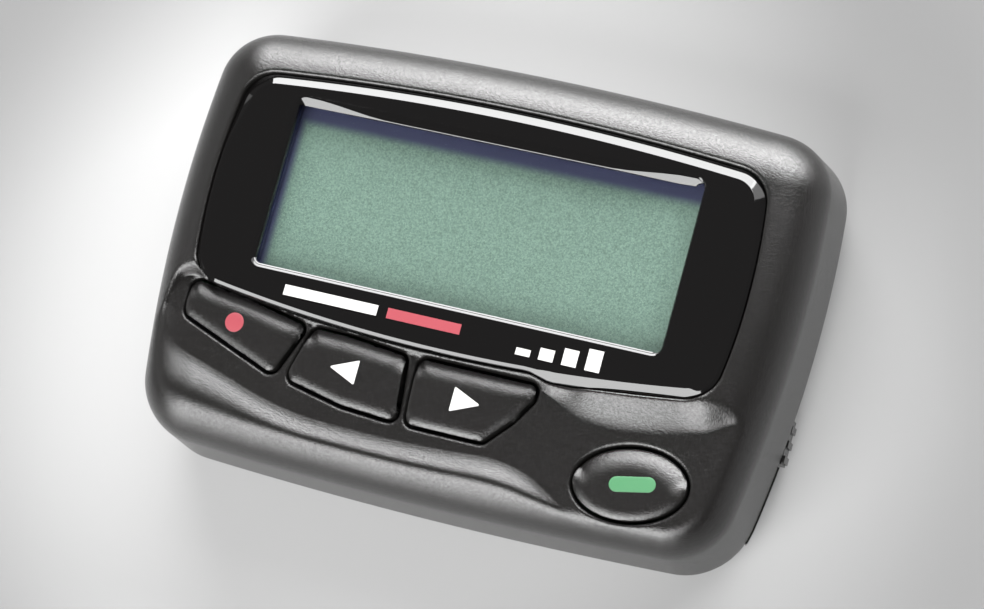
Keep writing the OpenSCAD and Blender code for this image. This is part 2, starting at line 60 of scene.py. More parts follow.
case_low, case_high = box_mm("front_case")
case_thk = case_high[2]
parting_z = case_low[2]
case_half = np.array([38.0, case_high[1]])
case_bows = (1.05, 1.1, 0.7)
corner_r = 7.8
taper = 0.028
front_round = 7.5
draft = math.radians(4.4)
front_mid_z = case_thk - front_round
front_mid_in = (front_mid_z - parting_z) * math.tan(draft) + front_round / math.cos(draft)
floor_z = case_thk - 2.0
face_under = floor_z - 1.4
wall = 1.5

lens_low, lens_high = box_mm("lens_border")
lens_half = np.array([lens_high[0], 14.3])
lens_mid_y = lens_high[1] - lens_half[1]
lens_top = lens_high[2]
lens_gap = 0.1
seat_z = box_mm("lens_adhesive")[0][2] - 0.02
pane_low, pane_high = box_mm("window_pane")
window_mid = (pane_low[:2] + pane_high[:2]) / 2
window_half = (pane_high[:2] - pane_low[:2]) / 2 - 1.1
display_mid = np.array([0.0, 6.05])
display_half = np.array([27.5, 11.6])

key_gap = 0.3
key_r = 0.9
key_base = 15.0
key_top = 17.6
mute_pts = [(-30.45, -7.85), (-24.1, -8.7), (-17.85, -9.95), (-19.6, -14.3), (-30.35, -10.35)]
left_pts = [(-14.9, -10.2), (-11, -10.25), (-5.05, -10.85), (-4.45, -16.5), (-10, -16.15), (-16.1, -14.9)]
right_pts = [(-1.6, -10.8), (10.5, -10.8), (10.45, -11.35), (8.9, -13.85), (6.5, -16.5), (-1.35, -16.5)]
oval_mid = np.array([24.35, -18.15])
oval_half = np.array([6.3, 4.0])
oval_tilt = math.radians(9.7)


# Outlines ---------------------------------------------------------------------------------
def quarter(a, b, bow_a, bow_b, r, side_n, corner_n):
    """Points from the end's middle to the side's middle, as in part.scad."""
    cx, cy = a - bow_a, b - bow_b
    u = np.linspace(0, 1, side_n + 1)
    side_normal = np.stack([np.ones_like(u), 2 * bow_a * u / cy], 1)
    side_normal /= np.linalg.norm(side_normal, axis=1)[:, None]
    side = np.stack([a - bow_a * u**2, cy * u], 1) + r * side_normal
    start = math.atan(2 * bow_a / cy)
    stop = math.pi / 2 - math.atan(2 * bow_b / cx)
    w = np.linspace(start, stop, corner_n + 2)[1:-1]
    arc = np.stack([cx + r * np.cos(w), cy + r * np.sin(w)], 1)
    u = u[::-1]
    top_normal = np.stack([2 * bow_b * u / cx, np.ones_like(u)], 1)
    top_normal /= np.linalg.norm(top_normal, axis=1)[:, None]
    top = np.stack([cx * u, b - bow_b * u**2], 1) + r * top_normal
    return np.concatenate([side, arc, top])


def bowed_ring(half, bows, r, k, inset, side_n=24, corner_n=14):
    core = half - r
    rr = max(r - inset, 0.0)
    up = quarter(core[0], core[1], bows[0], bows[1], rr, side_n, corner_n)
    down = quarter(core[0], core[1], bows[0], bows[2], rr, side_n, corner_n)
    ring = np.concatenate([up, up[-2::-1] * (-1, 1), -down[1:], down[-2:0:-1] * (1, -1)])
    ring[:, 0] *= 1 + k * ring[:, 1] / half[1]
    return ring


def case_ring(inset):
    return bowed_ring(case_half, case_bows, corner_r, taper, inset)


def lens_ring(inset):
    ring = bowed_ring(lens_half, (0.6, 1.25, 1.95), 4.0, 0.0, 0.0, 40, 14)
    step = 0.8 * np.clip((ring[:, 0] - 10.3) / 2.6, 0, 1) * (ring[:, 1] < 0)
    ring[:, 1] += lens_mid_y - step
    return moved_in(ring, inset)


def moved_in(loop, inset):
    """The loop moved in along its normals; inset is one number or one for each point."""
    tangent = np.roll(loop, -1, 0) - np.roll(loop, 1, 0)
    normal = np.stack([tangent[:, 1], -tangent[:, 0]], 1)
    normal /= np.linalg.norm(normal, axis=1)[:, None]
    return loop - normal * np.broadcast_to(inset, len(loop))[:, None]


def smooth(t):
    t = np.clip(t, 0, 1)
    return t * t * (3 - 2 * t)


def rounded_polygon(points, r, step=0.22):
    """Outline of a disc of radius r swept over a convex polygon, evenly filled along its sides."""
    pts = np.array(points, float)
    if cross2(pts[1] - pts[0], pts[2] - pts[1]) < 0:
        pts = pts[::-1]
    out = []
    for before, here, after in zip(np.roll(pts, 1, 0), pts, np.roll(pts, -1, 0)):
        into, onward = here - before, after - here
        start = math.atan2(-into[0], into[1])
        turn = (math.atan2(-onward[0], onward[1]) - start) % (2 * math.pi)
        for w in np.linspace(start, start + turn, 2 + int(turn / 0.16)):
            out.append(here + r * np.array([math.cos(w), math.sin(w)]))
        offset = r * np.array([math.cos(start + turn), math.sin(start + turn)])
        count = int(np.linalg.norm(onward) / (4 * step))
        out += [here + offset + onward * i / (count + 1) for i in range(1, count + 1)]
    return np.array(out)


def cross2(a, b):
    return a[0] * b[1] - a[1] * b[0]


def ellipse(half, mid, tilt, count=96):
    w = np.linspace(0, 2 * math.pi, count, endpoint=False)
    x, y = half[0] * np.cos(w), half[1] * np.sin(w)
    c, s = math.cos(tilt), math.sin(tilt)
    return np.stack([mid[0] + x * c - y * s, mid[1] + x * s + y * c], 1)


def rectangle(mid, half, r):
    x, y = half - r
    corners = [(x, -y), (x, y), (-x, y), (-x, -y)]
    return rounded_polygon(np.array(corners) + mid, r, 0.5)


def spline(points, per=8):
    """Closed Catmull-Rom curve through the points."""
    p = np.array(points, float)
    u = np.linspace(0, 1, per, endpoint=False)[:, None]
    out = []
    for i in range(len(p)):
        a, b, c, d = p[i - 1], p[i], p[(i + 1) % len(p)], p[(i + 2) % len(p)]
        square = 2 * a - 5 * b + 4 * c - d
        cube = 3 * b - a - 3 * c + d
        out.append(0.5 * (2 * b + (c - a) * u + square * u**2 + cube * u**3))
    return np.concatenate(out)


def distance(xy, loop):
    """Distance from each point to a closed loop."""
    a, b = loop, np.roll(loop, -1, 0)
    ab = b - a
    length2 = np.maximum((ab**2).sum(1), 1e-12)
    best = np.full(len(xy), np.inf)
    for first in range(0, len(xy), 2000):
        p = xy[first : first + 2000, None, :] - a[None]
        t = np.clip((p * ab[None]).sum(2) / length2, 0, 1)
        gap = p - t[..., None] * ab[None]
        best[first : first + 2000] = np.sqrt((gap**2).sum(2).min(1))
    return best


def inside(xy, loop):
    hit = np.zeros(len(xy), bool)
    for (ax, ay), (bx, by) in zip(loop, np.roll(loop, -1, 0)):
        if ay == by:
            continue
        crosses = (ay > xy[:, 1]) != (by > xy[:, 1])
        at = ax + (xy[:, 1] - ay) * (bx - ax) / (by - ay)
        hit ^= crosses & (xy[:, 0] < at)
    return hit


# Height of the case's face ----------------------------------------------------------------
case_core = case_ring(corner_r)
case_core[:, 0] /= 1 + taper * case_core[:, 1] / case_half[1]

# The recess that the keys stand in; its upper and right sides run out under the lens and the rim.
recess = spline(
    [
        (-33.4, -8.6), (-33.7, -11), (-32.8, -13.2), (-31, -14.8), (-27.9, -15.8), (-23.8, -17.0),
        (-19.7, -18.2), (-15.0, -19.1), (-10.4, -19.4), (-2.4, -19.45), (3.5, -19.2), (8.5, -18.9),
        (12.5, -19.6), (16.5, -21.6), (21, -24.5), (29, -26.5), (38, -24), (40, -12), (35, -9.3),
        (31, -11.0), (26.5, -12.3), (21, -13.0), (16.5, -12.6), (13.2, -10.9), (10.5, -9.9), (4, -9.85),
        (-4.7, -9.7), (-10.9, -9.35), (-17.1, -8.85), (-23.6, -7.95), (-29, -6.6), (-32.3, -6.7),
    ]
)


def face_height(xy):
    straight = xy / np.stack([1 + taper * xy[:, 1] / case_half[1], np.ones(len(xy))], 1)
    reach = distance(straight, case_core)
    inset = np.where(inside(straight, case_core), corner_r + reach, corner_r - reach)
    drop = np.clip(front_mid_in - inset, 0, front_round)
    face = front_mid_z + np.sqrt(front_round**2 - drop**2)
    out = np.where(inside(xy, recess), 0, distance(xy, recess))
    right = smooth((xy[:, 0] - 12) / 4)
    above = smooth((xy[:, 1] + 12.5 + 3 * right) / 2.5)
    left = smooth((-28 - xy[:, 0]) / 1.5)
    far = smooth((xy[:, 0] - 27.5) / 5)
    slope = 0.5 * (1 - above) + above * (1.1 * (1 - right) + (0.6 + 0.7 * far) * right + 0.9 * left)
    soft = 0.65 * (1 - above) + above * (0.08 + 1.3 * right)
    crease = 0.04 * smooth(out / 0.24) * (1 - above)
    ramp = floor_z + crease + slope * (np.sqrt(out**2 + soft**2) - soft)
    blend = 0.6 + 1.1 * smooth((-xy[:, 0] - 14) / 13) * (1 - above) + 0.5 * left
    mix = np.clip(0.5 + 0.5 * (face - ramp) / blend, 0, 1)
    return face * (1 - mix) + ramp * mix - blend * mix * (1 - mix)


def rounded_edge(gap, r):
    """How far a surface has dropped this close to its edge."""
    near = np.clip(r - gap, 0, r)
    return r - np.sqrt(r**2 - near**2)


# Mesh building ----------------------------------------------------------------------------
class Shell:
    """A closed skin put together from loops, walls between loops, and plates with holes."""

    def __init__(self):
        self.verts = []
        self.faces = []

    def loop(self, xy, z):
        first = len(self.verts)
        heights = np.broadcast_to(z, len(xy))
        self.verts += [(x, y, h) for (x, y), h in zip(xy, heights)]
        return list(range(first, len(self.verts)))

    def walls(self, *loops):
        for low, high in zip(loops, loops[1:]):
            ring = zip(low, low[1:] + low[:1], high[1:] + high[:1], high)
            self.faces += [face for face in ring]

    def plate(self, outer, holes=(), points=(), height=None):
        """Fills the space inside outer and outside holes, with points strewn over it."""
        loops = [outer, *holes]
        used = [i for loop in loops for i in loop]
        flat = [Vector(self.verts[i][:2]) for i in used]
        edges = []
        for loop in loops:
            first = len(edges)
            edges += [(first + i, first + (i + 1) % len(loop)) for i in range(len(loop))]
        flat += [Vector(p) for p in points]
        xy, _, tris, origin, _, _ = geometry.delaunay_2d_cdt(flat, edges, [], 0, 1e-7)
        place = []
        fresh = [i for i, o in enumerate(origin) if not any(k < len(used) for k in o)]
        if fresh and height is None:
            raise ValueError(f"loops cross at {[tuple(round(c, 2) for c in xy[i]) for i in fresh]}")
        heights = height(np.array([xy[i][:] for i in fresh])) if fresh else []
        lifted = dict(zip(fresh, heights))
        for i, o in enumerate(origin):
            known = [k for k in o if k < len(used)]
            if known:
                place.append(used[known[0]])
            else:
                place.append(len(self.verts))
                self.verts.append((xy[i][0], xy[i][1], lifted[i]))
        middles = np.array([sum((xy[k] for k in t), Vector((0, 0))) / 3 for t in tris])
        keep = inside(middles, np.array([self.verts[i][:2] for i in outer]))
        for hole in holes:
            keep &= ~inside(middles, np.array([self.verts[i][:2] for i in hole]))
        self.faces += [tuple(place[k] for k in t) for t, ok in zip(tris, keep) if ok]

    def build(self, name, body, slot, *stands_for, sharp=35):
        mesh = bpy.data.meshes.new(name)
        mesh.from_pydata([Vector(v) * MM for v in self.verts], [], self.faces)
        clean(mesh)
        mesh.shade_smooth()
        mesh.set_sharp_from_angle(angle=math.radians(sharp))
        mesh.materials.append(materials[slot])
        piece = bpy.data.objects.new(name, mesh)
        bpy.context.scene.collection.objects.link(piece)
        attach(piece, body)
        if stands_for:
            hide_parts(*stands_for)
        return piece


def clean(mesh):
    import bmesh

    bm = bmesh.new()
    bm.from_mesh(mesh)
    bmesh.ops.remove_doubles(bm, verts=bm.verts, dist=1e-7)
    bmesh.ops.recalc_face_normals(bm, faces=bm.faces)
    bm.to_mesh(mesh)
    bm.free()


def filled(loop, step):
    """The same closed loop with no two neighbouring points further apart than step."""
    out = []
    for a, b in zip(loop, np.roll(loop, -1, 0)):
        count = int(np.linalg.norm(b - a) / step) + 1
        out.append(a + (b - a) * np.linspace(0, 1, count, endpoint=False)[:, None])
    return np.concatenate(out)


def hex_points(low, high, pitch):
    rows = []
    for i, y in enumerate(np.arange(low[1], high[1], pitch * 0.866)):
        x = np.arange(low[0] + (i % 2) * pitch / 2, high[0], pitch)
        rows.append(np.stack([x, np.full(len(x), y)], 1))
    return np.concatenate(rows)


def beside(loop, *gaps):
    """Points along both sides of a loop, at the given distances from it."""
    return np.concatenate([moved_in(loop, gap) for gap in gaps])


def apart(points, pitch):
    """Drops points that lie closer than pitch to one kept before them."""
    kept, cells = [], {}
    for p in points:
        cell = (int(p[0] // pitch), int(p[1] // pitch))
        around = [(cell[0] + i, cell[1] + j) for i in (-1, 0, 1) for j in (-1, 0, 1)]
        near = [q for place in around for q in cells.get(place, ())]
        if all((p[0] - q[0]) ** 2 + (p[1] - q[1]) ** 2 > pitch**2 for q in near):
            cells.setdefault(cell, []).append(p)
            kept.append(p)
    return np.array(kept)


# Materials --------------------------------------------------------------------------------
class Nodes:
    """A node material with one Principled shader."""

    def __init__(self, name, color, roughness, **inputs):
        self.material = bpy.data.materials.new(name)
        self.material.use_nodes = True
        self.tree = self.material.node_tree
        self.shader = self.tree.nodes["Principled BSDF"]
        self.set("Base Color", (*color, 1))
        self.set("Roughness", roughness)
        for key, value in inputs.items():
            self.set(key.replace("_", " "), value)

    def set(self, socket, value):
        self.shader.inputs[socket].default_value = value

    def add(self, kind, **values):
        node = self.tree.nodes.new(kind)
        for key, value in values.items():
            if key in node.inputs:
                node.inputs[key].default_value = value
            else:
                setattr(node, key, value)
        return node

    def link(self, source, output, target, socket):
        self.tree.links.new(source.outputs[output], target.inputs[socket])

    def noise(self, size, detail=3.0, roughness=0.6):
        where = self.add("ShaderNodeTexCoord")
        noise = self.add("ShaderNodeTexNoise", Scale=1 / (size * MM), Detail=detail, Roughness=roughness)
        self.link(where, "Object", noise, "Vector")
        return noise

    def bump(self, source, output, depth, strength=1.0):
        bump = self.add("ShaderNodeBump", Distance=depth * MM, Strength=strength)
        self.link(source, output, bump, "Height")
        self.link(bump, "Normal", self.shader, "Normal")

    def range(self, source, output, low, high, socket):
        spread = self.add("ShaderNodeMapRange")
        spread.inputs["From Min"].default_value = 0.25
        spread.inputs["From Max"].default_value = 0.75
        spread.inputs["To Min"].default_value = low
        spread.inputs["To Max"].default_value = high
        self.link(source, output, spread, "Value")
        self.link(spread, "Result", self.shader, socket)

    def tones(self, source, output, low, high):
        ramp = self.add("ShaderNodeValToRGB")
        ramp.color_ramp.elements[0].position = 0.3
        ramp.color_ramp.elements[0].color = (*low, 1)
        ramp.color_ramp.elements[1].position = 0.7
        ramp.color_ramp.elements[1].color = (*high, 1)
        self.link(source, output, ramp, "Fac")
        self.link(ramp, "Color", self.shader, "Base Color")
        return ramp


def moulded(name, color, roughness, grain, depth, shine=(0.4, 0.6)):
    """Spark-eroded plastic: a fine grain in the surface, with speckled shine and slightly uneven gloss."""
    made = Nodes(name, color, roughness)
    made.bump(made.noise(grain), "Fac", depth)
    made.range(made.noise(grain * 1.7, 2.0, 0.7), "Fac", *shine, "Specular IOR Level")
    made.range(made.noise(grain * 2.6), "Fac", roughness - 0.04, roughness + 0.04, "Roughness")
    return made


def plain(name, color, roughness, size=1.5, spread=0.06, metallic=0.0, **inputs):
    """A smooth material whose gloss varies a little."""
    made = Nodes(name, color, roughness, Metallic=metallic, **inputs)
    made.range(made.noise(size), "Fac", max(roughness - spread, 0), roughness + spread, "Roughness")
    return made


satin = {"roughness": 0.21, "grain": 0.18, "shine": (0.62, 0.94)}
materials = {
    "case_plastic": moulded("case_plastic", (0.009, 0.0084, 0.008), depth=0.055, **satin).material,
    "key_plastic": moulded("key_plastic", (0.01, 0.0094, 0.009), depth=0.05, **satin).material,
    "border_plastic": plain(
        "border_plastic", (0.003, 0.0027, 0.0027), 0.05, 4.0, 0.02, Specular_IOR_Level=0.85
    ).material,
    "white_print": plain("white_print", (0.64, 0.63, 0.62), 0.45).material,
    "red_print": plain("red_print", (0.35, 0.062, 0.078), 0.45).material,
    "green_print": plain("green_print", (0.076, 0.235, 0.11), 0.45).material,
    "adhesive": plain("adhesive", (0.03, 0.03, 0.035), 0.6).material,
    "lcd_navy": plain("lcd_navy", (0.005, 0.006, 0.022), 0.35).material,
    "lcd_glass": plain("lcd_glass", (0.55, 0.68, 0.6), 0.12).material,
    "light_guide": plain("light_guide", (0.8, 0.86, 0.8), 0.4).material,
    "led_white": plain("led_white", (0.85, 0.83, 0.7), 0.4).material,
    "elastomer": plain("elastomer", (0.4, 0.38, 0.34), 0.7).material,
    "board_green": plain("board_green", (0.01, 0.07, 0.02), 0.35).material,
    "black_epoxy": moulded("black_epoxy", (0.012, 0.012, 0.013), 0.5, 0.12, 0.01).material,
    "tin_plate": plain("tin_plate", (0.6, 0.61, 0.62), 0.35, 0.8, 0.1, 1.0).material,
    "nickel": plain("nickel", (0.68, 0.68, 0.68), 0.24, 0.8, 0.06, 1.0).material,
    "brass_trim": plain("brass_trim", (0.55, 0.4, 0.16), 0.3, 0.8, 0.08, 1.0).material,
    "copper_strip": plain("copper_strip", (0.6, 0.3, 0.13), 0.3, 0.8, 0.08, 1.0).material,
    "chip_ceramic": plain("chip_ceramic", (0.3, 0.23, 0.15), 0.5).material,
    "foam_grey": moulded("foam_grey", (0.05, 0.05, 0.052), 0.85, 0.4, 0.08).material,
    "tungsten": plain("tungsten", (0.36, 0.35, 0.32), 0.42, 0.5, 0.08, 1.0).material,
    "sleeve_print": plain("sleeve_print", (0.03, 0.08, 0.2), 0.25).material,
    "label_paper": plain("label_paper", (0.6, 0.6, 0.58), 0.6).material,
}


def clear_pane():
    made = Nodes("clear_pane", (0.95, 0.98, 0.96), 0.02, IOR=1.22, Transmission_Weight=1.0)
    made.range(made.noise(6.0), "Fac", 0.0, 0.03, "Roughness")
    return made.material


def film_with_painted_shade():
    """Grey-green film with a faint sparkle, and painted shade: a navy darkening that fades in along its
    top and left, where the window's walls shade it.
    """
    made = Nodes("polarizer", (0.2, 0.32, 0.25), 0.55)
    sparkle = made.noise(0.22, 2.0, 0.8)
    ramp = made.tones(sparkle, "Fac", (0.029, 0.058, 0.045), (0.091, 0.139, 0.115))
    where = made.add("ShaderNodeTexCoord")
    split = made.add("ShaderNodeSeparateXYZ")
    made.link(where, "Object", split, "Vector")
    edges = []
    # Painted shade: masks that darken the film towards its top and left edges, where the window's walls
    # cast shadow.
    for axis, clear, dark in (("Y", 13.2, 14.5), ("X", -23.3, -24.4)):
        edge = made.add("ShaderNodeMapRange", interpolation_type="SMOOTHSTEP")
        edge.inputs["From Min"].default_value = clear * MM
        edge.inputs["From Max"].default_value = dark * MM
        made.link(split, axis, edge, "Value")
        edges.append(edge)
    painted_shade = made.add("ShaderNodeMath", operation="MAXIMUM")
    for i, edge in enumerate(edges):
        made.tree.links.new(edge.outputs["Result"], painted_shade.inputs[i])
    mix = made.add("ShaderNodeMix", data_type="RGBA")
    # The colour of the painted shade: a dark navy.
    mix.inputs["B"].default_value = (0.015, 0.017, 0.05, 1)
    made.link(painted_shade, "Value", mix, "Factor")
    made.link(ramp, "Color", mix, "A")
    made.link(mix, "Result", made.shader, "Base Color")
    return made.material


materials["clear_pane"] = clear_pane()
materials["polarizer"] = film_with_painted_shade()

node_slots = {part["node"]: part["material_slot"] for part in frame["record"]["subparts"]}
for name, piece in nodes.items():
    piece.data.materials.clear()
    piece.data.materials.append(materials[node_slots[name]])
    piece.data.shade_smooth()
    piece.data.set_sharp_from_angle(angle=math.radians(28))


# Front case -------------------------------------------------------------------------------
lens_hole = lens_ring(-lens_gap)


def key_hole(points):
    """The opening round an arc key, kept just clear of the lens's opening."""
    hole = filled(rounded_polygon(points, key_r + key_gap), 0.3)
    near = distance(hole, lens_hole)
    close = inside(hole, lens_hole) | (near < 0.12)
    push = np.where(inside(hole, lens_hole), near, -near) + 0.12
    hole[close, 1] -= push[close]
    return hole


key_holes = [key_hole(points) for points in (mute_pts, left_pts, right_pts)]
key_holes.append(ellipse(oval_half + key_gap, oval_mid, oval_tilt))
edge_r = 0.45


def front_height(xy):
    gaps = np.min([distance(xy, hole) for hole in (lens_hole, *key_holes)], axis=0)
    return face_height(xy) - rounded_edge(gaps, edge_r)


def front_case():
    shell = Shell()
    last_inset = 2.0
    stop = math.acos((front_mid_in - last_inset) / front_round)
    outside = [shell.loop(case_ring(0.35), parting_z), shell.loop(case_ring(0.06), parting_z + 0.06)]
    outside.append(shell.loop(case_ring(0.02), parting_z + 0.25))
    for z in np.linspace(parting_z + 1, front_mid_z, 5)[:-1]:
        outside.append(shell.loop(case_ring((z - parting_z) * math.tan(draft)), z))
    for w in np.linspace(draft, stop, 12):
        inset = front_mid_in - front_round * math.cos(w)
        outside.append(shell.loop(case_ring(inset), front_mid_z + front_round * math.sin(w)))
    shell.walls(*outside)

    holes = [shell.loop(hole, front_height(hole)) for hole in key_holes]
    lens_edge = shell.loop(lens_hole, front_height(lens_hole))
    outside_gaps = (-0.06, -0.16, -0.28, -0.42, -0.6)
    strips = [beside(filled(hole, 0.25), *outside_gaps) for hole in (lens_hole, *key_holes)]
    rim = beside(filled(recess, 0.25), 0.12, 0, -0.12, -0.26, -0.42, -0.7)
    grid = hex_points(case_low, case_high, 0.42)
    points = np.concatenate([*strips, rim, grid])
    ring = case_ring(last_inset)
    keep = inside(points, ring) & (distance(points, ring) > 0.2) & ~inside(points, lens_hole)
    for hole in key_holes:
        keep &= ~inside(points, hole)
    points = points[keep]
    gaps = np.min([distance(points, hole) for hole in (lens_hole, *key_holes)], axis=0)
    points = apart(points[gaps > 0.04], 0.09)
    shell.plate(outside[-1], [lens_edge, *holes], points, front_height)

    seat = shell.loop(lens_hole, seat_z)
    display = rectangle(display_mid, display_half, 0.6)
    seat_inner = shell.loop(display, seat_z)
    under_display = shell.loop(display, face_under)
    shell.walls(lens_edge, seat)
    shell.plate(seat, [seat_inner])
    shell.walls(seat_inner, under_display)
    under_holes = [shell.loop(hole, face_under) for hole in key_holes]
    for top, under in zip(holes, under_holes):
        shell.walls(top, under)
    inner = [shell.loop(case_ring(2.5), face_under)]
    for z in np.linspace(face_under, parting_z, 8)[1:]:
        w = max(math.asin(max(min((z - front_mid_z) / (front_round - wall), 1), -1)), draft)
        inset = front_mid_in - (front_round - wall) * math.cos(w)
        if z < front_mid_z:
            inset = wall + (z - parting_z) * math.tan(draft)
        inner.append(shell.loop(case_ring(inset), z))
    shell.plate(inner[0], [under_display, *under_holes])
    shell.walls(*inner, outside[0])
    return shell.build("front_shell", "case", "case_plastic", "front_case", sharp=40)


# Lens border ------------------------------------------------------------------------------
def lens_border():
    shell = Shell()
    edge = lens_ring(0)
    above = smooth((edge[:, 1] - 8) / 8)
    before_corner = 1 - smooth((edge[:, 0] - 28.6) / 1.4)
    low_right = smooth((edge[:, 0] - 10.3) / 2.6) * (edge[:, 1] < 0) * before_corner
    width = 0.35 + 0.85 * above + 0.65 * low_right
    drop = 0.03 + (0.6 - 0.22 * above) * (width - 0.06)
    bottom = shell.loop(edge, pane_low[2])
    wall_top = shell.loop(edge, lens_top - drop - 0.08)
    turned = shell.loop(moved_in(edge, 0.06), lens_top - drop)
    bevel = shell.loop(moved_in(edge, width), lens_top - 0.015)
    flat = shell.loop(moved_in(edge, width + 0.03), lens_top)
    shell.walls(bottom, wall_top, turned, bevel, flat)

    window = rectangle(window_mid, window_half, 1.2)
    window_flat = shell.loop(moved_in(window, -0.08), lens_top)
    inner = [shell.loop(moved_in(window, gap), lens_top - fall) for gap, fall in window_edge(window)]
    roof_z = pane_high[2] + 0.02
    inner.append(shell.loop(inset_window(window), roof_z))
    pocket = rectangle(window_mid, window_half + 1.21, 0.05)
    roof = shell.loop(pocket, roof_z)
    mouth = shell.loop(pocket, pane_low[2])
    shell.plate(flat, [window_flat])
    shell.walls(window_flat, *inner)
    shell.plate(roof, [inner[-1]])
    shell.walls(roof, mouth)
    shell.plate(bottom, [mouth])
    return shell.build("lens_frame", "case", "border_plastic", "lens_border", sharp=14)


def window_masks(window):
    """How far each point of the window's outline belongs to its top side and to its right side."""
    from_mid = window - window_mid
    top = smooth((from_mid[:, 1] - window_half[1] + 1.1) / 0.9)
    top = top * (1 - smooth((from_mid[:, 0] - window_half[0] + 1.5) / 1.2))
    right = smooth((from_mid[:, 0] - window_half[0] + 0.9) / 0.6) * (1 - top)
    return top, right


def window_edge(window):
    """Inset and fall of each line of the window's edge, from its outside inwards.

    The top side is wide, with a flat facet above a steep one that opens towards both ends.
    The other sides are narrow, with a small step halfway down.
    """
    top, right = window_masks(window)
    ends = smooth((np.abs(window[:, 0] - window_mid[0]) - 13) / 10)
    turn = 0.92 - 0.8 * ends
    wide = 1.0
    narrow = [(0.0, 0.03), (0.18, 0.13), (0.25, 0.14), (0.4, 0.26)]
    facet = 0.03 + 0.12 * turn * wide
    high = [
        (0.0, 0.03),
        (0.5 * turn, 0.03 + 0.06 * turn),
        (turn * wide, facet),
        (wide, facet + 0.56 * (1 - turn) * wide),
    ]
    rows = []
    for (gap, fall), (top_gap, top_fall) in zip(narrow, high):
        gaps = gap * (1 - 0.5 * right) * (1 - top) + top_gap * top
        rows.append((gaps, fall * (1 + 0.6 * right) * (1 - top) + top_fall * top))
    return rows


def inset_window(window):
    gap, _ = window_edge(window)[-1]
    return moved_in(window, gap + 0.02)


# Keys -------------------------------------------------------------------------------------
class Cap:
    """A crowned key cap: its edge rolls off all round, and further along its upper and lower sides."""

    def __init__(self, outline, upper, lower=(1.1, 0.3), roll=(0.3, 0.07), dome=0.08):
        self.outline = outline
        self.dome = dome
        self.deepest = distance(outline.mean(0)[None], outline)[0]
        tangent = np.roll(outline, -1, 0) - np.roll(outline, 1, 0)
        along = tangent[:, 0] / np.linalg.norm(tangent, axis=1)
        self.falls = [
            (self.side(along > -2), *roll),
            (self.side(along < -0.5), *upper),
            (self.side(along > 0.3), *lower),
        ]

    def side(self, chosen):
        pairs = zip(self.outline, np.roll(self.outline, -1, 0), chosen)
        return np.concatenate([evenly(a, b) for a, b, take in pairs if take])

    def height(self, xy):
        z = key_top + self.dome * smooth(distance(xy, self.outline) / self.deepest)
        for side, width, fall in self.falls:
            gap = np.array([np.sqrt(((side - p) ** 2).sum(1).min()) for p in xy])
            z = z - fall * np.clip(1 - gap / width, 0, 1) ** 2
        return z

    def mesh(self, name, body, node):
        shell = Shell()
        base = shell.loop(self.outline, key_base)
        top = shell.loop(self.outline, self.height(self.outline))
        shell.walls(base, top)
        shell.plate(base)
        rows = beside(self.outline, 0.02, 0.06, 0.12, 0.2, 0.3, 0.42, 0.56)
        low, high = self.outline.min(0), self.outline.max(0)
        points = np.concatenate([rows, hex_points(low, high, 0.3)])
        keep = inside(points, self.outline) & (distance(points, self.outline) > 0.015)
        shell.plate(top, (), apart(points[keep], 0.05), self.height)
        return shell.build(name, body, "key_plastic", node, sharp=50)

    def mark(self, outline, name, body, slot, node):
        """A filled mark that stands a hair above the cap."""
        shell = Shell()
        low, high = outline.min(0), outline.max(0)
        points = hex_points(low, high, 0.3)
        points = points[inside(points, outline) & (distance(points, outline) > 0.1)]
        base = shell.loop(outline, key_top - 0.25)
        side = shell.loop(outline, self.height(outline) + 0.005)
        rim = shell.loop(moved_in(outline, 0.04), self.height(moved_in(outline, 0.04)) + 0.025)
        shell.plate(base)
        shell.walls(base, side, rim)
        shell.plate(rim, (), points, lambda xy: self.height(xy) + 0.025)
        return shell.build(name, body, slot, node, sharp=50)


def evenly(a, b, step=0.1):
    count = max(int(np.linalg.norm(b - a) / step), 1)
    return a + (b - a) * np.linspace(0, 1, count + 1)[:, None]


def arrow(mid, way):
    tip, back = 1.75, 1.2
    return rounded_polygon([(mid[0] + way * tip, mid[1]), (mid[0] - way * back, mid[1] + 1.25),
                            (mid[0] - way * back, mid[1] - 1.25)], 0.12)


def keys():
    mute = Cap(rounded_polygon(mute_pts, key_r), (2.2, 0.75))
    mute.mesh("mute_cap", "mute", "mute_key")
    mute.mark(ellipse((1.12, 1.12), (-24.9, -10.8), 0, 40), "mute_sign", "mute", "red_print", "mute_dot")
    left = Cap(rounded_polygon(left_pts, key_r), (2.2, 0.75))
    left.mesh("left_cap", "left", "left_key")
    left.mark(arrow((-10.4, -13.2), -1), "left_sign", "left", "white_print", "left_arrow")
    right = Cap(rounded_polygon(right_pts, key_r), (2.2, 0.75))
    right.mesh("right_cap", "right", "right_key")
    right.mark(arrow((3.8, -13.6), 1), "right_sign", "right", "white_print", "right_arrow")
    select = Cap(ellipse(oval_half, oval_mid, oval_tilt), (2.8, 1.0))
    select.mesh("select_cap", "select", "select_key")
    angle = oval_tilt + math.radians(2)
    reach = 1.75 * np.array([math.cos(angle), math.sin(angle)])
    mid = oval_mid + (0.45, 0)
    ends = [mid - reach, mid + reach]
    tips = [half_turn(ends[1], angle - math.pi / 2), half_turn(ends[0], angle + math.pi / 2)]
    dash = np.concatenate(tips)
    select.mark(dash, "select_sign", "select", "green_print", "select_dash")


def half_turn(mid, start, r=0.85, count=14):
    w = np.linspace(start, start + math.pi, count)
    return np.stack([mid[0] + r * np.cos(w), mid[1] + r * np.sin(w)], 1)


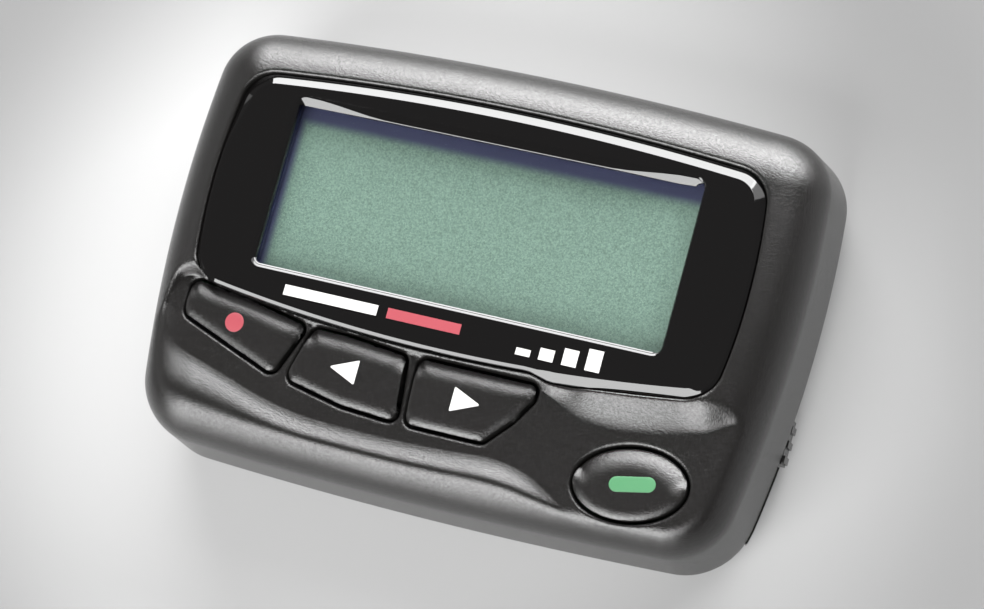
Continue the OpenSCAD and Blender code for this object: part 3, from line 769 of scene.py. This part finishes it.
# Camera, light and floor --------------------------------------------------------------------
def aim_camera():
    """The main view: the camera is above the face, turned to the right and rolled."""
    azimuth, height, roll = math.radians(18.02), math.radians(9.77), math.radians(15.63)
    reach, focal_px = 335.4 * MM, 3021.0
    width_px, height_px = 984, 609
    target_px = (460.6, 274.4)
    back = Vector((math.sin(azimuth), -math.cos(azimuth) * math.sin(height),
                   math.cos(azimuth) * math.cos(height)))
    side = Vector((0, 1, 0)).cross(back).normalized()
    up = back.cross(side)
    right = math.cos(roll) * side + math.sin(roll) * up
    over = math.cos(roll) * up - math.sin(roll) * side
    basis = Matrix((right, over, back)).transposed()
    ray = Vector(((target_px[0] - width_px / 2) / focal_px, (height_px / 2 - target_px[1]) / focal_px, -1))
    turn = ray.rotation_difference(Vector((0, 0, -1))).to_matrix()
    data = bpy.data.cameras.new("camera")
    data.lens = focal_px * data.sensor_width / width_px
    data.clip_start = 0.01
    camera = bpy.data.objects.new("camera", data)
    bpy.context.scene.collection.objects.link(camera)
    target = Vector((0, 0, case_thk * MM))
    camera.matrix_world = Matrix.Translation(target + back * reach) @ (basis @ turn).to_4x4()
    bpy.context.scene.camera = camera


def softbox(name, azimuth, elevation, size, radiance, reach=0.9):
    """A softbox aimed at the pager; azimuth is turned from the display's top towards its right."""
    data = bpy.data.lights.new(name, "AREA")
    data.shape = "RECTANGLE"
    data.size, data.size_y = size
    data.energy = radiance * math.pi * size[0] * size[1]
    lamp = bpy.data.objects.new(name, data)
    bpy.context.scene.collection.objects.link(lamp)
    a, e = math.radians(azimuth), math.radians(elevation)
    way = Vector((math.sin(a) * math.cos(e), math.cos(a) * math.cos(e), math.sin(e)))
    lamp.location = way * reach
    lamp.rotation_euler = way.to_track_quat("Z", "Y").to_euler()


# Paper with a painted pool of light: its light middle, which also fills in the pager's shadow, where the
# painted falloff starts and ends, and its two tones
painted_pool_mid = (-9, -6)
painted_pool_fall = (28, 72)
painted_pool_tone = 0.5
painted_falloff_tone = 0.2


def paper_with_painted_light():
    """Pale paper with a painted pool of light, lightest round the middle, where it fills in the pager's
    shadow.
    """
    made = plain("floor_paper_painted_light", (0.4, 0.4, 0.4), 0.8, 20.0, 0.03)
    where = made.add("ShaderNodeTexCoord")
    reach = made.add("ShaderNodeVectorMath", operation="DISTANCE")
    reach.inputs[1].default_value = (painted_pool_mid[0] * MM, painted_pool_mid[1] * MM, 0)
    made.link(where, "Object", reach, "Vector")
    # Painted light: the paper darkens with distance from the middle, standing in for the lights' falloff.
    fall = made.add("ShaderNodeMapRange", interpolation_type="SMOOTHSTEP")
    fall.inputs["From Min"].default_value = painted_pool_fall[0] * MM
    fall.inputs["From Max"].default_value = painted_pool_fall[1] * MM
    made.link(reach, "Value", fall, "Value")
    mix = made.add("ShaderNodeMix", data_type="RGBA")
    mix.inputs["A"].default_value = (painted_pool_tone, painted_pool_tone, painted_pool_tone, 1)
    mix.inputs["B"].default_value = (painted_falloff_tone, painted_falloff_tone, painted_falloff_tone, 1)
    made.link(fall, "Result", mix, "Factor")
    made.link(mix, "Result", made.shader, "Base Color")
    return made.material


def stage():
    softbox("top_box", 6, 21, (1.45, 0.68), 11.5)
    softbox("top_fill", 0, 49, (1.25, 0.28), 2)
    softbox("left_box", 270, 28, (0.7, 0.3), 0.75)
    softbox("front_box", 194, 31, (0.84, 0.96), 7.5)
    world = bpy.data.worlds.new("studio")
    world.use_nodes = True
    background = world.node_tree.nodes["Background"]
    background.inputs["Color"].default_value = (1, 1, 1, 1)
    background.inputs["Strength"].default_value = 0.13
    bpy.context.scene.world = world
    mesh = bpy.data.meshes.new("floor")
    half, depth = 1.5, -2e-5
    signs = ((-1, -1), (1, -1), (1, 1), (-1, 1))
    mesh.from_pydata([(half * x, half * y, depth) for x, y in signs], [], [(0, 1, 2, 3)])
    floor = bpy.data.objects.new("floor", mesh)
    bpy.context.scene.collection.objects.link(floor)
    mesh.materials.append(paper_with_painted_light())
    bpy.context.scene.view_settings.view_transform = "Standard"


aim_camera()
front_case()
lens_border()
keys()
nodes["window_pane"].visible_shadow = False
stage()
